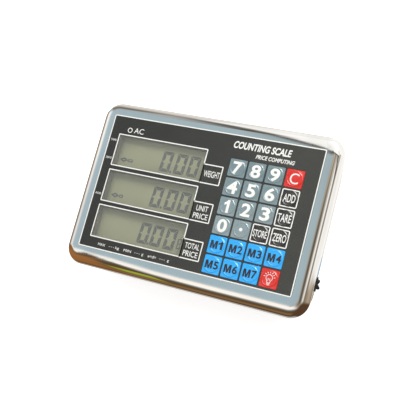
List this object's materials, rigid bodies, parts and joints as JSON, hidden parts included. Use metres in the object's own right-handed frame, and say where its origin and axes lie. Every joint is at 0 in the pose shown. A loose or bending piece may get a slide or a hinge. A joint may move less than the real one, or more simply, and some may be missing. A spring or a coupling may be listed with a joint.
{
  "type": "counting scale indicator head",
  "caption": "Indicator head of a price-computing counting scale: polished steel pan with three display windows, a push-key pad and a side power rocker.",
  "frame": {"origin": "middle of the bracket plate's rear face", "axes": "+X to the right along the face, +Y up the face, +Z out of the face; the head lies on its back"},
  "size_m": [0.243, 0.1628, 0.0653],
  "materials": {
    "steel_shell": "polished stainless sheet",
    "steel_rear": "satin stainless sheet",
    "front_film": "printed film, fine texture",
    "pane": "clear gloss",
    "lcd_glass": "grey-green liquid crystal glass",
    "key_digit": "embossed printed film",
    "key_function": "embossed printed film",
    "key_memory": "embossed printed film",
    "key_alert": "embossed printed film",
    "black_plastic": "moulded nylon",
    "frame_plastic": "moulded plastic",
    "lamp_body": "clear dark epoxy",
    "board": "glass-epoxy board with solder mask",
    "power_laminate": "paper-phenolic board",
    "core_iron": "varnished laminated iron and coil",
    "battery_case": "moulded battery case",
    "zinc_steel": "zinc-plated",
    "grommet_rubber": "moulded rubber"
  },
  "bodies": {
    "housing": {"battery": "battery_case", "battery_clamp": "zinc_steel", "bracket_plate": "zinc_steel", "buzzer": "black_plastic", "cable_grommet": "grommet_rubber", "cover_screw_1": "zinc_steel", "cover_screw_2": "zinc_steel", "cover_screw_3": "zinc_steel", "cover_screw_4": "zinc_steel", "cover_screw_5": "zinc_steel", "cover_screw_6": "zinc_steel", "display_frame": "frame_plastic", "front_film": "front_film", "front_shell": "steel_shell", "keypad_board": "board", "keypad_frame": "black_plastic", "lcd_total_price": "lcd_glass", "lcd_unit_price": "lcd_glass", "lcd_weight": "lcd_glass", "main_board": "board", "mains_inlet": "black_plastic", "mains_lamp": "lamp_body", "power_board": "power_laminate", "processor": "black_plastic", "rear_cover": "steel_rear", "switch_body": "black_plastic", "transformer": "core_iron", "window_pane_total_price": "pane", "window_pane_unit_price": "pane", "window_pane_weight": "pane"},
    "key_0": {"key_0": "key_digit"},
    "key_1": {"key_1": "key_digit"},
    "key_2": {"key_2": "key_digit"},
    "key_3": {"key_3": "key_digit"},
    "key_4": {"key_4": "key_digit"},
    "key_5": {"key_5": "key_digit"},
    "key_6": {"key_6": "key_digit"},
    "key_7": {"key_7": "key_digit"},
    "key_8": {"key_8": "key_digit"},
    "key_9": {"key_9": "key_digit"},
    "key_add": {"key_add": "key_function"},
    "key_clear": {"key_clear": "key_alert"},
    "key_lamp": {"key_lamp": "key_alert"},
    "key_m1": {"key_m1": "key_memory"},
    "key_m2": {"key_m2": "key_memory"},
    "key_m3": {"key_m3": "key_memory"},
    "key_m4": {"key_m4": "key_memory"},
    "key_m5": {"key_m5": "key_memory"},
    "key_m6": {"key_m6": "key_memory"},
    "key_m7": {"key_m7": "key_memory"},
    "key_point": {"key_point": "key_digit"},
    "key_store": {"key_store": "key_function"},
    "key_tare": {"key_tare": "key_function"},
    "key_zero": {"key_zero": "key_function"},
    "power_rocker": {"power_rocker": "black_plastic"}
  },
  "joints": [
    {"name": "press_7", "type": "slide", "parent": "housing", "child": "key_7", "axis": [0, 0, -1], "range_m": [0, 0.0005], "stiffness_N_per_m": 1500},
    {"name": "press_8", "type": "slide", "parent": "housing", "child": "key_8", "axis": [0, 0, -1], "range_m": [0, 0.0005], "stiffness_N_per_m": 1500},
    {"name": "press_9", "type": "slide", "parent": "housing", "child": "key_9", "axis": [0, 0, -1], "range_m": [0, 0.0005], "stiffness_N_per_m": 1500},
    {"name": "press_clear", "type": "slide", "parent": "housing", "child": "key_clear", "axis": [0, 0, -1], "range_m": [0, 0.0005], "stiffness_N_per_m": 1500},
    {"name": "press_4", "type": "slide", "parent": "housing", "child": "key_4", "axis": [0, 0, -1], "range_m": [0, 0.0005], "stiffness_N_per_m": 1500},
    {"name": "press_5", "type": "slide", "parent": "housing", "child": "key_5", "axis": [0, 0, -1], "range_m": [0, 0.0005], "stiffness_N_per_m": 1500},
    {"name": "press_6", "type": "slide", "parent": "housing", "child": "key_6", "axis": [0, 0, -1], "range_m": [0, 0.0005], "stiffness_N_per_m": 1500},
    {"name": "press_add", "type": "slide", "parent": "housing", "child": "key_add", "axis": [0, 0, -1], "range_m": [0, 0.0005], "stiffness_N_per_m": 1500},
    {"name": "press_1", "type": "slide", "parent": "housing", "child": "key_1", "axis": [0, 0, -1], "range_m": [0, 0.0005], "stiffness_N_per_m": 1500},
    {"name": "press_2", "type": "slide", "parent": "housing", "child": "key_2", "axis": [0, 0, -1], "range_m": [0, 0.0005], "stiffness_N_per_m": 1500},
    {"name": "press_3", "type": "slide", "parent": "housing", "child": "key_3", "axis": [0, 0, -1], "range_m": [0, 0.0005], "stiffness_N_per_m": 1500},
    {"name": "press_tare", "type": "slide", "parent": "housing", "child": "key_tare", "axis": [0, 0, -1], "range_m": [0, 0.0005], "stiffness_N_per_m": 1500},
    {"name": "press_0", "type": "slide", "parent": "housing", "child": "key_0", "axis": [0, 0, -1], "range_m": [0, 0.0005], "stiffness_N_per_m": 1500},
    {"name": "press_point", "type": "slide", "parent": "housing", "child": "key_point", "axis": [0, 0, -1], "range_m": [0, 0.0005], "stiffness_N_per_m": 1500},
    {"name": "press_store", "type": "slide", "parent": "housing", "child": "key_store", "axis": [0, 0, -1], "range_m": [0, 0.0005], "stiffness_N_per_m": 1500},
    {"name": "press_zero", "type": "slide", "parent": "housing", "child": "key_zero", "axis": [0, 0, -1], "range_m": [0, 0.0005], "stiffness_N_per_m": 1500},
    {"name": "press_m1", "type": "slide", "parent": "housing", "child": "key_m1", "axis": [0, 0, -1], "range_m": [0, 0.0005], "stiffness_N_per_m": 1500},
    {"name": "press_m2", "type": "slide", "parent": "housing", "child": "key_m2", "axis": [0, 0, -1], "range_m": [0, 0.0005], "stiffness_N_per_m": 1500},
    {"name": "press_m3", "type": "slide", "parent": "housing", "child": "key_m3", "axis": [0, 0, -1], "range_m": [0, 0.0005], "stiffness_N_per_m": 1500},
    {"name": "press_m4", "type": "slide", "parent": "housing", "child": "key_m4", "axis": [0, 0, -1], "range_m": [0, 0.0005], "stiffness_N_per_m": 1500},
    {"name": "press_m5", "type": "slide", "parent": "housing", "child": "key_m5", "axis": [0, 0, -1], "range_m": [0, 0.0005], "stiffness_N_per_m": 1500},
    {"name": "press_m6", "type": "slide", "parent": "housing", "child": "key_m6", "axis": [0, 0, -1], "range_m": [0, 0.0005], "stiffness_N_per_m": 1500},
    {"name": "press_m7", "type": "slide", "parent": "housing", "child": "key_m7", "axis": [0, 0, -1], "range_m": [0, 0.0005], "stiffness_N_per_m": 1500},
    {"name": "press_lamp", "type": "slide", "parent": "housing", "child": "key_lamp", "axis": [0, 0, -1], "range_m": [0, 0.0005], "stiffness_N_per_m": 1500},
    {"name": "rocker_turn", "type": "hinge", "parent": "housing", "child": "power_rocker", "pos_m": [0.11765, -0.0463, 0.03391], "axis": [-0.1822, 0, -0.9833], "range_deg": [0, 16]}
  ]
}
